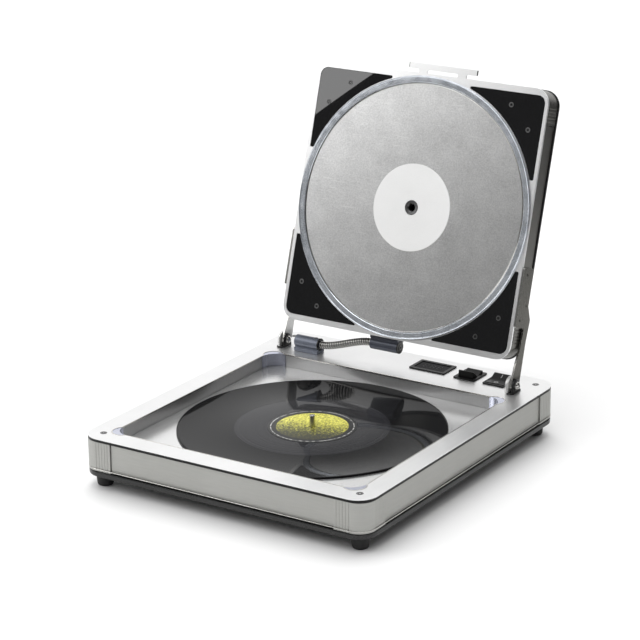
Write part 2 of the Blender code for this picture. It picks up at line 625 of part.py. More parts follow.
# round upper plate with its ring, label disc and centre bushing
plate = lid_turned([(8.6, 1.8), (142.9, 1.8), (143.9, 2.6), (143.9, BEZEL_D1), (8.6, BEZEL_D1)], 72)
keep(plate, "upper_plate", "polished", at_lid, smooth=30)
ring = lid_turned([(RING_R0, 0.5), (RING_R0 + 0.6, 0.0), (RING_R1 - 0.8, 0.0), (RING_R1, 0.8),
                   (RING_R1 - 0.4, 2.1), (RING_R1 - 5.2, 2.1), (RING_R1 - 5.2, 5.0), (RING_R0, 5.0)], 72)
keep(ring, "plate_ring", "clear_ring", at_lid, smooth=30)
disc = lid_turned([(8.6, 1.5), (50.7, 1.5), (50.7, 1.75), (8.6, 1.75)], 48)
keep(disc, "lid_label_disc", "white", at_lid, smooth=30)
bush = lid_turned([(4.3, 2.2), (5.4, 1.3), (8.2, 1.0), (8.3, 1.4), (8.3, BEZEL_D1), (5.4, BEZEL_D1),
                   (5.4, 9.0), (4.3, 9.0)], 32)
keep(bush, "centre_bushing", "steel", at_lid, smooth=30)

# pull tab on the free edge
TAB_X, TAB_U0, TAB_U1 = 44.8, 160.1, 166.7
tab_line = [(TAB_X, TAB_U1), (-TAB_X, TAB_U1), (-TAB_X, TAB_U0), (-STEM_X, TAB_U0),
            (-STEM_X, 148.6), (STEM_X, 148.6), (STEM_X, TAB_U0), (TAB_X, TAB_U0)]
tab_line = rounded(tab_line, [0.8, 0.8, 0.8, 2.0, 0, 0, 2.0, 0.8], 5)
slot_line = rrect(0, 157.4, 41.0, 4.6, 2.29, 6)
tab = soften(lid_prism([tab_line, slot_line], TAB_D0, TAB_D1), 0.25, 1)
keep(tab, "pull_tab", "satin_silver", at_lid, smooth=30)

# hinge arms
EYE_U, EYE_D = -PLATE_U, PLATE_D
eye = arc(EYE_U, EYE_D, EYE_R, -80, -215, 12)
shape = [(-46.0, 26.0), (-46.0, 3.0), (-113.6, 2.4), (-114.6, 24.0), (-137.0, 22.2), (-160.0, 17.0)]
shape += [tuple(p) for p in eye]
shape += [(-181.0, 31.0), (-176.0, 33.4), (-131.0, 33.2), (-105.0, 35.6), (-89.0, 26.0)]
bends = [2.0, 1.5, 1.0, 1.2, 9.0, 6.0] + [0.0] * len(eye) + [3.0, 4.0, 10.0, 4.0, 5.0]
shape = rounded(shape, bends, 4)
side = [(u + PLATE_U, PLATE_D - d) for u, d in shape]
bore = circle(0.0, 0.0, PIN_R, 32)
for tag, s in (("L", -1), ("R", 1)):
    arm = x_prism(side, ARM_X0, ARM_X1, [bore])
    arm = soften(arm, 0.3, 1)
    if s < 0:
        arm.data.transform(Matrix.Scale(-1, 4, (1, 0, 0)))
        arm.data.flip_normals()
    keep(arm, "hinge_arm_" + tag, "steel", at_lid, smooth=25)

# cable gland on the hinge edge of the lid
GL_U, GL_D, GL_X0, GL_X1 = -163.2, 21.6, -35.5, 2.0
top_u = LID_U0 - wu - 0.3
base_line = [(top_u, 13.7), (top_u - 4.2, 13.7), (top_u - 4.2, 15.6), (GL_U, 15.6), (GL_U, 27.0),
             (top_u - 4.2, 27.0), (top_u - 4.2, 28.0), (top_u, 28.0)]
lid_gland = gland(GL_X0, GL_X1, GL_U + PLATE_U, PLATE_D - GL_D, 7.4,
                  [(u + PLATE_U, PLATE_D - d) for u, d in base_line])
keep(lid_gland, "lid_gland", "blue_grey", at_lid, smooth=30)

# armoured cable between the two glands
lean = math.radians(90.0 - LEAN)
end_y = HINGE_Y + (GL_U + PLATE_U) * math.cos(lean) - (PLATE_D - GL_D) * math.sin(lean)
end_z = HINGE_Z + (GL_U + PLATE_U) * math.sin(lean) + (PLATE_D - GL_D) * math.cos(lean)
start = Vector((-103.2 + 0.3, GLAND_Y, GLAND_Z))
end = Vector((GL_X0 - 0.3, end_y, end_z))
curve = bpy.data.curves.new("armoured_cable", "CURVE")
curve.dimensions = "3D"
curve.bevel_depth = 4.7 * MM
curve.bevel_resolution = 3
curve.use_fill_caps = True
spline = curve.splines.new("POLY")
steps = 20
spline.points.add(steps)
for i, point in enumerate(spline.points):
    t = i / steps
    ease = t * t * (3.0 - 2.0 * t)
    x = start.x + (end.x - start.x) * t
    y = start.y + (end.y - start.y) * ease
    z = start.z + (end.z - start.z) * ease
    point.co = (x * MM, y * MM, z * MM, 1.0)
cable = bpy.data.objects.new("armoured_cable", curve)
PARTS.objects.link(cable)
keep(to_mesh(cable), "armoured_cable", "steel", smooth=40)
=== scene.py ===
import json
import math

import bmesh
import bpy
from mathutils import Matrix, Vector

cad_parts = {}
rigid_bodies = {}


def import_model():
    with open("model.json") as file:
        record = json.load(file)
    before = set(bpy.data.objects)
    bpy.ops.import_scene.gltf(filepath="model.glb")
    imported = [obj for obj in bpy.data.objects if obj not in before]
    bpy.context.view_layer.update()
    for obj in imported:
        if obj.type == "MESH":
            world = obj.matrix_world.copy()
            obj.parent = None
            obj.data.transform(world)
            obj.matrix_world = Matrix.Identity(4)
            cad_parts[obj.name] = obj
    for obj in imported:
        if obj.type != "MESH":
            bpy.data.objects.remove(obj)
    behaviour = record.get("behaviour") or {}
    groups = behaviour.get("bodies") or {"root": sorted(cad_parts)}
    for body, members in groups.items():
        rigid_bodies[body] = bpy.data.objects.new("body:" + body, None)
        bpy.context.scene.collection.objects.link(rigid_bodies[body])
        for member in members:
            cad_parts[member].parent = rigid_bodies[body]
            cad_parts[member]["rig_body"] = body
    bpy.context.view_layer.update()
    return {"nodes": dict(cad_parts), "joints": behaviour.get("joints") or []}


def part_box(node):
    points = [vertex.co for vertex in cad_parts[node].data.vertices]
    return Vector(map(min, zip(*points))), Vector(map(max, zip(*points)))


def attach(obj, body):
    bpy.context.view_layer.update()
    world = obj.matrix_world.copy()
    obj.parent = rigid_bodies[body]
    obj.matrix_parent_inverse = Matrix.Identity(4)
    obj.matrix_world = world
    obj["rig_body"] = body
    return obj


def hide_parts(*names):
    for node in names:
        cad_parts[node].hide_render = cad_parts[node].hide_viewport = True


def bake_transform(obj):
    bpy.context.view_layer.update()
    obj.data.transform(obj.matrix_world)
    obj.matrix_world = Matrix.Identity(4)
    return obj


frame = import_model()

MM = 0.001

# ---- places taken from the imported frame, in millimetres ---------------------------
JOINTS = {j["name"]: j for j in frame["joints"]}


def low(node):
    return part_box(node)[0] / MM


def high(node):
    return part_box(node)[1] / MM


def middle(node):
    return (low(node) + high(node)) / 2


BASE_Y = middle("bottom_plate").y             # middle of the case along Y
DECK_Z = high("top_skin").z
CASE_X, CASE_Y = high("top_skin").x, high("top_skin").y - BASE_Y
DISC = middle("record")
HINGE = Vector(JOINTS["lid_hinge"]["pos_m"]) / MM

# ---- the record, as radii about its middle
R_LABEL, R_WAX, R_TRACKS, R_RIM = 50.0, 87.0, 146.5, 150.8
GROOVE_RATE = 9000.0                          # radians of groove wave for each metre outwards

# ---- the lid's own frame: x across, u from the plate centre to the free edge, d back
LEAN = 17.04                                  # the open lid leans this far back, degrees
PLATE_U, PLATE_D = 179.6, 21.4                # plate centre seen from the hinge
LID = (Matrix.Translation(HINGE * MM) @ Matrix.Rotation(math.radians(90.0 - LEAN), 4, "X")
       @ Matrix.Translation(Vector((0.0, PLATE_U, PLATE_D)) * MM))
# in LID space a point is (x, u, -d)


def at(x, y, z):
    return Matrix.Translation(Vector((x, y, z)) * MM)


# =============================== node helpers ===============================
def add(tree, kind, **values):
    """A new node; a value is for the input of that name, or else a setting of the node."""
    made = tree.nodes.new("ShaderNode" + kind)
    for key, value in values.items():
        if key in made.inputs:
            made.inputs[key].default_value = value
        else:
            setattr(made, key, value)
    return made


def feed(tree, socket, value):
    """Link another node's output to the socket, or set the socket to a plain value."""
    if isinstance(value, bpy.types.NodeSocket):
        tree.links.new(value, socket)
    else:
        socket.default_value = value


def principled(name, **sockets):
    made = bpy.data.materials.new(name)
    made.use_nodes = True
    shader = made.node_tree.nodes["Principled BSDF"]
    for key, value in sockets.items():
        shader.inputs[key.replace("_", " ")].default_value = value
    return made, made.node_tree, shader


def grey(tone):
    return (tone, tone, tone)


BLACK, WHITE = grey(0.0), grey(1.0)


def maths(tree, kind, *values):
    made = add(tree, "Math", operation=kind)
    for socket, value in zip(made.inputs, values):
        feed(tree, socket, value)
    return made.outputs[0]


def spread(tree, value, lowest, highest, from_low=0.3, from_high=0.7, curve="LINEAR"):
    """Map a value from one range to another, held at both ends."""
    made = add(tree, "MapRange", interpolation_type=curve)
    made.inputs["From Min"].default_value = from_low
    made.inputs["From Max"].default_value = from_high
    made.inputs["To Min"].default_value = lowest
    made.inputs["To Max"].default_value = highest
    tree.links.new(value, made.inputs["Value"])
    return made.outputs["Result"]


def ramp(tree, value, stops):
    made = add(tree, "ValToRGB")
    points = made.color_ramp.elements
    while len(points) < len(stops):
        points.new(0.5)
    for point, (place, colour) in zip(points, stops):
        point.position = place
        point.color = (*colour, 1.0)
    tree.links.new(value, made.inputs["Fac"])
    return made.outputs["Color"]


def mixed(tree, factor, one, other):
    """A blend of two colours. The Mix node's colour sockets have no names of their own."""
    made = add(tree, "Mix", data_type="RGBA")
    feed(tree, made.inputs["Factor"], factor)
    feed(tree, made.inputs[6], one)
    feed(tree, made.inputs[7], other)
    return made.outputs[2]


def mapped(tree, stretch=(1, 1, 1), turn=(0, 0, 0)):
    """The piece's own coordinates, turned and stretched."""
    where = add(tree, "TexCoord")
    mapping = add(tree, "Mapping", Rotation=turn, Scale=stretch)
    tree.links.new(where.outputs["Object"], mapping.inputs["Vector"])
    return mapping.outputs["Vector"]


def noise(tree, vector, **values):
    made = add(tree, "TexNoise", **values)
    tree.links.new(vector, made.inputs["Vector"])
    return made.outputs["Fac"]


def noise_along(tree, distance, **values):
    """Noise that changes with one distance only."""
    made = add(tree, "TexNoise", **values)
    made.noise_dimensions = "1D"
    tree.links.new(distance, made.inputs["W"])
    return made.outputs["Fac"]


def bump(tree, shader, height, strength, depth):
    made = add(tree, "Bump", Strength=strength, Distance=depth)
    tree.links.new(height, made.inputs["Height"])
    tree.links.new(made.outputs["Normal"], shader.inputs["Normal"])


def from_spindle(tree):
    """Distance from the record's axis, in metres, and the flat vector from it."""
    where = add(tree, "TexCoord")
    less = add(tree, "VectorMath", operation="SUBTRACT")
    less.inputs[1].default_value = DISC * MM
    flat = add(tree, "VectorMath", operation="MULTIPLY")
    flat.inputs[1].default_value = (1.0, 1.0, 0.0)
    size = add(tree, "VectorMath", operation="LENGTH")
    tree.links.new(where.outputs["Object"], less.inputs[0])
    tree.links.new(less.outputs[0], flat.inputs[0])
    tree.links.new(flat.outputs[0], size.inputs[0])
    return size.outputs["Value"], flat.outputs[0]


# =============================== camera, light, stage ===============================
AZIMUTH, ELEVATION, ROLL = 33.014, 18.619, -0.593
AIM = Vector((-5.06, BASE_Y, 162.78)) * MM
DISTANCE = 2.77395
FOCAL, SENSOR = 141.4, 36.0


def make_camera():
    az, el, roll = (math.radians(a) for a in (AZIMUTH, ELEVATION, ROLL))
    back = Vector((math.sin(az) * math.cos(el), -math.cos(az) * math.cos(el), math.sin(el)))
    right = Vector((math.cos(az), math.sin(az), 0.0))
    up = back.cross(right)
    side = right * math.cos(roll) + up * math.sin(roll)
    top = up * math.cos(roll) - right * math.sin(roll)
    data = bpy.data.cameras.new("camera")
    data.lens, data.sensor_width = FOCAL, SENSOR
    data.clip_start, data.clip_end = 0.05, 50.0
    camera = bpy.data.objects.new("camera", data)
    bpy.context.scene.collection.objects.link(camera)
    spot = AIM + back * DISTANCE
    camera.matrix_world = Matrix.Translation(spot) @ Matrix((side, top, back)).transposed().to_4x4()
    bpy.context.scene.camera = camera


def new_lamp(name, kind, strength):
    data = bpy.data.lights.new(name, kind)
    data.energy = strength
    lamp = bpy.data.objects.new(name, data)
    bpy.context.scene.collection.objects.link(lamp)
    return lamp


def soft_light(name, spot, aim, width, height, power, turn=0.0):
    """A softbox: an area light that shines from spot to aim, turned about its own axis."""
    lamp = new_lamp(name, "AREA", power)
    lamp.data.shape = "RECTANGLE"
    lamp.data.size, lamp.data.size_y = width, height
    way = (Vector(aim) - Vector(spot)).to_track_quat("-Z", "Y").to_matrix().to_4x4()
    lamp.matrix_world = Matrix.Translation(spot) @ way @ Matrix.Rotation(math.radians(turn), 4, "Z")
    lamp.visible_camera = False


def sky_light(name, way, strength, width):
    """An even, very soft light over the whole floor that no glossy surface shows."""
    lamp = new_lamp(name, "SUN", strength)
    lamp.data.angle = math.radians(width)
    lamp.rotation_euler = Vector(way).to_track_quat("-Z", "Y").to_euler()
    lamp.visible_glossy = False


def make_world():
    """A pale studio: bright behind and above, dim in front of the lid and to the right."""
    world = bpy.data.worlds.new("studio")
    bpy.context.scene.world = world
    world.use_nodes = True
    tree = world.node_tree
    sky = tree.nodes["Background"]
    where = add(tree, "TexCoord")
    split = add(tree, "SeparateXYZ")
    tree.links.new(where.outputs["Generated"], split.inputs[0])
    behind = spread(tree, split.outputs["Y"], 0.12, 1.0, -0.05, 0.6, "SMOOTHSTEP")
    above = spread(tree, split.outputs["Z"], 0.0, 0.7, 0.5, 0.95, "SMOOTHSTEP")
    right = spread(tree, split.outputs["X"], 1.0, 0.55, 0.0, 0.85, "SMOOTHSTEP")
    glow = maths(tree, "MAXIMUM", maths(tree, "MULTIPLY", behind, right), above)
    tree.links.new(glow, sky.inputs["Color"])
    sky.inputs["Strength"].default_value = 1.0


def make_stage():
    mesh = bpy.data.meshes.new("floor")
    reach = 6.0
    corners = [(-reach, -reach, 0), (reach, -reach, 0), (reach, reach, 0), (-reach, reach, 0)]
    mesh.from_pydata(corners, [], [(0, 1, 2, 3)])
    floor = bpy.data.objects.new("floor", mesh)
    bpy.context.scene.collection.objects.link(floor)
    paint, _, _ = principled("floor_paint", Base_Color=(*grey(0.83), 1.0), Roughness=0.6,
                             Specular_IOR_Level=0.2)
    mesh.materials.append(paint)


def make_flag():
    """A dark card behind on the right, as studios use: only what faces right reflects it."""
    bpy.ops.mesh.primitive_plane_add(size=1.0)
    flag = bpy.context.object
    flag.name = "dark_flag"
    flag.scale = (1.7, 1.3, 1.0)
    flag.rotation_euler = (math.radians(90.0), 0.0, math.radians(82.0))
    flag.location = (0.52, 1.05, 0.66)
    cloth, _, _ = principled("flag_cloth", Base_Color=(*grey(0.01), 1.0), Roughness=0.9)
    flag.data.materials.append(cloth)
    flag.visible_camera = flag.visible_diffuse = flag.visible_shadow = False


make_camera()
make_world()
make_stage()
make_flag()
bpy.context.scene.view_settings.view_transform = "Standard"
soft_light("key_left", (-1.62, -1.10 + BASE_Y * MM, 1.33), (-0.39, 0.43, 0.60), 1.4, 1.4, 15.0,
           54.7)
soft_light("top", (-0.3, 0.5, 2.4), (0, 0, 0), 1.6, 1.4, 12.0)
sky_light("even_front", (0.12, 0.50, -0.83), 1.2, 80.0)
sky_light("even_back", (0.34, -0.42, -0.84), 1.25, 60.0)


# =============================== materials ===============================
SLOW_PATCH = 14.0                             # size of the slow change of tone
FINE_SHARE, SLOW_SHARE = 0.45, 0.55


def grained(name, dark, light, grain, rough, depth=0.00002, strength=0.25, stretch=(1, 1, 1),
            **sockets):
    """Metal or plastic with a fine grain, a slow change of tone and uneven gloss."""
    made, tree, shader = principled(name, **sockets)
    fine = noise(tree, mapped(tree, stretch), Scale=grain, Detail=3.0, Roughness=0.6)
    slow = noise(tree, mapped(tree), Scale=SLOW_PATCH, Detail=4.0, Roughness=0.55)
    both = maths(tree, "MULTIPLY_ADD", fine, FINE_SHARE, maths(tree, "MULTIPLY", slow, SLOW_SHARE))
    colour = ramp(tree, both, [(0.34, dark), (0.66, light)])
    tree.links.new(colour, shader.inputs["Base Color"])
    tree.links.new(spread(tree, both, *rough), shader.inputs["Roughness"])
    bump(tree, shader, fine, strength, depth)
    return made


SILVER = grained("silver_satin", grey(0.83), grey(0.92), 1400, (0.30, 0.38), Metallic=0.88)
SIDE = grained("side_anodised", (0.39, 0.39, 0.37), (0.45, 0.45, 0.43), 700, (0.42, 0.52),
               stretch=(0.06, 0.06, 1), Metallic=0.75)
# a darker copy of the case's side anodising for the lid's sides and posts: the darker tone is
# painted shade
LID_SIDE_SHADED = grained("lid_side_anodised_painted_shade", (0.15, 0.146, 0.135), (0.19, 0.186, 0.173), 700,
                   (0.26, 0.34), Metallic=0.95)
BLACK_METAL = grained("black_anodised", grey(0.012), grey(0.022), 900, (0.22, 0.32), Metallic=0.1)
GLOSS_BLACK = grained("gloss_black_panel", (0.002, 0.002, 0.0025), (0.004, 0.004, 0.0045), 60,
                      (0.006, 0.014), 0.000002, 0.02, Specular_IOR_Level=1.0)
BLACK_PLASTIC = grained("black_moulded", grey(0.006), grey(0.012), 2400, (0.30, 0.42), 0.00002, 0.4,
                        Specular_IOR_Level=0.22)
BLUE_GREY = grained("blue_grey_liner", (0.50, 0.52, 0.62), (0.62, 0.64, 0.74), 600, (0.14, 0.24),
                    Metallic=0.8)
SLATE = grained("slate_block", (0.075, 0.083, 0.108), (0.105, 0.114, 0.145), 600, (0.26, 0.36),
                Metallic=0.3)
PALE_SLATE = grained("pale_slate_block", (0.15, 0.165, 0.205), (0.19, 0.21, 0.26), 600,
                     (0.26, 0.36), Metallic=0.3)
FLOOR_PLATE = grained("ground_floor_plate", grey(0.80), grey(0.87), 500, (0.20, 0.27), 0.000004,
                      0.08, Metallic=0.86)
TRAY_WALL = grained("tray_wall", grey(0.49), grey(0.57), 900, (0.34, 0.44), stretch=(1, 1, 0.1),
                    Metallic=0.7)
# the arm's nickel is tinted near black: a painted dark reflection, on the arms and their screws
NICKEL_DARK_REFLECTION = grained("nickel_arm_painted_dark_reflection", (0.070, 0.067, 0.058), (0.11, 0.107, 0.094), 900, (0.22, 0.32),
                 stretch=(1, 1, 0.15), Metallic=1.0)
STEEL = grained("bright_steel", (0.66, 0.65, 0.62), (0.78, 0.77, 0.74), 1200, (0.12, 0.22),
                Metallic=1.0)
PALE_STEEL = grained("cast_steel", (0.72, 0.72, 0.71), (0.82, 0.82, 0.81), 1200, (0.2, 0.3),
                     Metallic=0.45)
DARK_STEEL = grained("dark_screw_steel", grey(0.10), grey(0.16), 1200, (0.28, 0.4), Metallic=0.8)
RUBBER = grained("foot_rubber", grey(0.010), grey(0.020), 1800, (0.6, 0.75), 0.00006, 0.5)
SILICONE = grained("heater_silicone", (0.30, 0.08, 0.03), (0.38, 0.11, 0.04), 900, (0.5, 0.6))
BOARD = grained("circuit_board", (0.02, 0.12, 0.06), (0.03, 0.17, 0.09), 260, (0.3, 0.5))
INK = grained("pale_mark", grey(0.52), grey(0.62), 1500, (0.5, 0.6))
DARK_INK = grained("dark_mark", grey(0.014), grey(0.024), 1500, (0.5, 0.6))
CARD = grained("label_card", (0.82, 0.82, 0.815), (0.90, 0.90, 0.895), 1600, (0.45, 0.6), 0.00003,
               0.4)


def make_vinyl():
    """Pressed vinyl: a streak that turns with the grooves under a thin mirror gloss."""
    made, tree, shader = principled("pressed_vinyl", Anisotropic=0.85, Coat_Weight=0.50,
                                    Coat_Roughness=0.025, Coat_IOR=1.34, Specular_IOR_Level=0.02)
    radius, _ = from_spindle(tree)
    wave = maths(tree, "SINE", maths(tree, "MULTIPLY", radius, GROOVE_RATE))
    bands = noise_along(tree, radius, Scale=260.0, Detail=2.0)
    colour = ramp(tree, bands, [(0.3, (0.002, 0.002, 0.0025)), (0.7, (0.005, 0.005, 0.0055))])
    tree.links.new(colour, shader.inputs["Base Color"])
    tree.links.new(spread(tree, bands, 0.23, 0.27), shader.inputs["Roughness"])
    tangent = add(tree, "Tangent", direction_type="RADIAL", axis="Z")
    tree.links.new(tangent.outputs["Tangent"], shader.inputs["Tangent"])
    bump(tree, shader, wave, 0.03, 0.00002)
    return made


def make_dead_wax(name, dark, light):
    """The smooth vinyl of the run-out and of the inner band."""
    made, tree, shader = principled(name, Coat_Weight=0.44, Coat_Roughness=0.025, Coat_IOR=1.34,
                                    Specular_IOR_Level=0.02)
    radius, _ = from_spindle(tree)
    bands = noise_along(tree, radius, Scale=420.0, Detail=1.0)
    tree.links.new(ramp(tree, bands, [(0.3, dark), (0.7, light)]), shader.inputs["Base Color"])
    tree.links.new(spread(tree, bands, 0.14, 0.24), shader.inputs["Roughness"])
    return made


def make_label_print():
    """A yellow disc on black with specks of wear, painted shade darkening it towards the front and
    right, and a thin broken ring round it.
    """
    made, tree, shader = principled("label_print", Roughness=0.42)
    radius, flat = from_spindle(tree)
    split = add(tree, "SeparateXYZ")
    tree.links.new(flat, split.inputs[0])
    # painted shade: the yellow darkens towards the front and right, added to the specks of wear
    lean = maths(tree, "MULTIPLY_ADD", split.outputs["X"], -0.40, split.outputs["Y"])
    painted_shade = spread(tree, lean, 0.12, 1.0, -0.040, 0.020)
    specks = noise(tree, mapped(tree), Scale=520.0, Detail=6.0, Roughness=0.75)
    wear_and_shade = maths(tree, "ADD", painted_shade, spread(tree, specks, -0.95, 0.40))
    yellow = ramp(tree, wear_and_shade, [(0.05, (0.03, 0.03, 0.015)), (0.30, (0.14, 0.135, 0.03)),
                               (0.6, (0.46, 0.44, 0.06)), (1.0, (0.84, 0.80, 0.16))])
    reach = spread(tree, radius, 0.0, 1.0, 0.0, R_LABEL * MM)
    disc = ramp(tree, reach, [(0.0, WHITE), (0.800, WHITE), (0.815, BLACK), (1.0, BLACK)])
    line = ramp(tree, reach, [(0.0, BLACK), (0.915, BLACK), (0.922, WHITE), (0.933, WHITE),
                              (0.940, BLACK)])
    gaps = noise(tree, mapped(tree), Scale=210.0, Detail=3.0)
    broken = maths(tree, "MULTIPLY", line, spread(tree, gaps, 0.1, 1.0, 0.42, 0.55))
    ground = mixed(tree, disc, (*grey(0.009), 1.0), yellow)
    whole = mixed(tree, broken, ground, (0.62, 0.62, 0.60, 1.0))
    tree.links.new(whole, shader.inputs["Base Color"])
    bump(tree, shader, specks, 0.15, 0.00002)
    return made


def make_platen():
    """Blasted plate: an even speckle, cloudy patches and a few faint slanting scratches."""
    made, tree, shader = principled("blasted_platen", Metallic=0.93)
    speckle = noise(tree, mapped(tree), Scale=640.0, Detail=1.5, Roughness=0.5)
    cloud = noise(tree, mapped(tree), Scale=26.0, Detail=6.0, Roughness=0.62)
    slant = mapped(tree, (34.0, 34.0, 900.0), (0.0, math.radians(38.0), 0.0))
    scratch = noise(tree, slant, Scale=1.0, Detail=2.0, Roughness=0.5)
    marks = spread(tree, scratch, 0.0, 0.22, 0.66, 0.74)
    part = maths(tree, "MULTIPLY_ADD", cloud, 0.45, marks)
    whole = maths(tree, "MULTIPLY_ADD", speckle, 0.55, part)
    colour = ramp(tree, whole, [(0.34, (0.55, 0.55, 0.548)), (0.66, (0.77, 0.77, 0.765))])
    tree.links.new(colour, shader.inputs["Base Color"])
    tree.links.new(spread(tree, whole, 0.292, 0.304), shader.inputs["Roughness"])
    bump(tree, shader, speckle, 0.1, 0.00001)
    return made


def make_clear_ring():
    """Bluish glossy ring, its tone uneven along its length."""
    made, tree, shader = principled("clear_ring", Metallic=0.75, Coat_Weight=0.5,
                                    Coat_Roughness=0.05)
    slow = noise(tree, mapped(tree), Scale=90.0, Detail=3.0)
    colour = ramp(tree, slow, [(0.35, (0.68, 0.72, 0.78)), (0.65, (0.84, 0.88, 0.94))])
    tree.links.new(colour, shader.inputs["Base Color"])
    tree.links.new(spread(tree, slow, 0.10, 0.18), shader.inputs["Roughness"])
    return made


VINYL = make_vinyl()
DEAD_WAX = make_dead_wax("smooth_vinyl", (0.010, 0.010, 0.011), (0.020, 0.020, 0.022))
INNER_BAND = make_dead_wax("inner_band_vinyl", (0.016, 0.016, 0.018), (0.026, 0.026, 0.029))
LABEL_PRINT = make_label_print()
PLATEN = make_platen()
CLEAR_RING = make_clear_ring()
DISPLAY_GLASS = grained("display_glass", (0.006, 0.006, 0.007), (0.010, 0.010, 0.012), 30,
                        (0.10, 0.16), 0.000002, 0.05, Specular_IOR_Level=0.02)


# =============================== shape helpers ===============================
NEARLY_STRAIGHT = math.radians(87.0)          # half angle of a corner too flat to round
SHARP = math.radians(35.0)                    # edges that turn more than this are softened
SAME_PLANE = 0.003                            # radians between faces that are one flat face


def arc(cx, cy, r, a0, a1, n):
    return [(cx + r * math.cos(math.radians(a0 + (a1 - a0) * i / n)),
             cy + r * math.sin(math.radians(a0 + (a1 - a0) * i / n))) for i in range(n + 1)]


def circle(r, n):
    return arc(0, 0, r, 0.0, 360.0, n)[:-1]


def rounded(points, r, n):
    """Round the corners of a closed polygon; r is one radius, or one for each corner."""
    out = []
    for i, here in enumerate(points):
        rad = r[i] if isinstance(r, (list, tuple)) else r
        if rad <= 0:
            out.append(tuple(here))
            continue
        p = Vector(here)
        a, b = Vector(points[i - 1]) - p, Vector(points[(i + 1) % len(points)]) - p
        half = a.angle(b) / 2
        if half > NEARLY_STRAIGHT:
            out.append(tuple(here))
            continue
        back = rad / math.tan(half)
        start, end = p + a.normalized() * back, p + b.normalized() * back
        centre = p + (a.normalized() + b.normalized()).normalized() * (rad / math.sin(half))
        swing = (start - centre).angle_signed(end - centre)
        for k in range(n + 1):
            out.append(tuple(centre + Matrix.Rotation(-swing * k / n, 2) @ (start - centre)))
    return out


def finish_piece(obj, name, paint, body, stands_for=(), smooth=30.0, even=True):
    """Name and shade a piece, give it its body, and hide the nodes it stands for."""
    obj.name = name
    obj.data.name = name
    obj.data.materials.clear()
    obj.data.materials.append(paint)
    obj.data.shade_smooth()
    obj.data.set_sharp_from_angle(angle=math.radians(smooth))
    if even:
        obj.modifiers.new("even_normals", "WEIGHTED_NORMAL").keep_sharp = True
    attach(obj, body)
    if stands_for:
        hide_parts(*stands_for)
    return obj


def from_bmesh(bm, matrix=None):
    """A new object in the scene; matrix moves the mesh itself."""
    mesh = bpy.data.meshes.new("piece")
    bm.to_mesh(mesh)
    bm.free()
    if matrix:
        mesh.transform(matrix)
    obj = bpy.data.objects.new("piece", mesh)
    bpy.context.scene.collection.objects.link(obj)
    return obj


def bevel(bm, edges, width, segments):
    bmesh.ops.bevel(bm, geom=edges, offset=width * MM, offset_type="OFFSET", segments=segments,
                    profile=0.5, affect="EDGES", clamp_overlap=True)


def bevel_sharp(bm, width, segments):
    sharp = [e for e in bm.edges if len(e.link_faces) == 2 and e.calc_face_angle(0.0) > SHARP]
    if sharp and width > 0:
        bevel(bm, sharp, width, segments)


def plate(loops, z0, z1, matrix=None, width=0.0, segments=2):
    """A flat outline with holes, given a thickness and softened edges."""
    curve = bpy.data.curves.new("outline", "CURVE")
    curve.dimensions = "2D"
    curve.fill_mode = "BOTH"
    curve.extrude = (z1 - z0) / 2 * MM
    for points in loops:
        spline = curve.splines.new("POLY")
        spline.points.add(len(points) - 1)
        for point, (x, y) in zip(spline.points, points):
            point.co = (x * MM, y * MM, 0.0, 1.0)
        spline.use_cyclic_u = True
    holder = bpy.data.objects.new("outline", curve)
    bpy.context.scene.collection.objects.link(holder)
    deps = bpy.context.evaluated_depsgraph_get()
    bm = bmesh.new()
    bm.from_mesh(holder.evaluated_get(deps).to_mesh())
    bpy.data.objects.remove(holder, do_unlink=True)
    bmesh.ops.remove_doubles(bm, verts=bm.verts, dist=1e-6)
    bmesh.ops.recalc_face_normals(bm, faces=bm.faces)
    bmesh.ops.dissolve_limit(bm, angle_limit=SAME_PLANE, verts=bm.verts, edges=bm.edges)
    bevel_sharp(bm, width, segments)
    bmesh.ops.translate(bm, verts=bm.verts, vec=(0, 0, (z0 + z1) / 2 * MM))
    return from_bmesh(bm, matrix)


def lathe(profile, steps, matrix=None, closed=True):
    """A profile of (radius, height) turned about Z."""
    bm = bmesh.new()
    verts = [bm.verts.new((r * MM, 0.0, z * MM)) for r, z in profile]
    edges = [bm.edges.new(pair) for pair in zip(verts, verts[1:])]
    if closed:
        edges.append(bm.edges.new((verts[-1], verts[0])))
    bmesh.ops.spin(bm, geom=verts + edges, cent=(0, 0, 0), axis=(0, 0, 1), dvec=(0, 0, 0),
                   angle=2 * math.pi, steps=steps, use_merge=True)
    bmesh.ops.remove_doubles(bm, verts=bm.verts, dist=1e-7)
    bmesh.ops.recalc_face_normals(bm, faces=bm.faces)
    return from_bmesh(bm, matrix)


def refined(node, paint, width, segments, name=None):
    """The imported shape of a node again, with its edges softened."""
    bm = bmesh.new()
    bm.from_mesh(frame["nodes"][node].data)
    bmesh.ops.remove_doubles(bm, verts=bm.verts, dist=2e-6)
    bmesh.ops.dissolve_limit(bm, angle_limit=SAME_PLANE, verts=bm.verts, edges=bm.edges)
    bevel_sharp(bm, width, segments)
    body = frame["nodes"][node]["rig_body"]
    name = name or node + "_finished"
    return finish_piece(from_bmesh(bm), name, paint, body, [node])


def dress(node, paint):
    """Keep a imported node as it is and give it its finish."""
    data = frame["nodes"][node].data
    data.materials.clear()
    data.materials.append(paint)


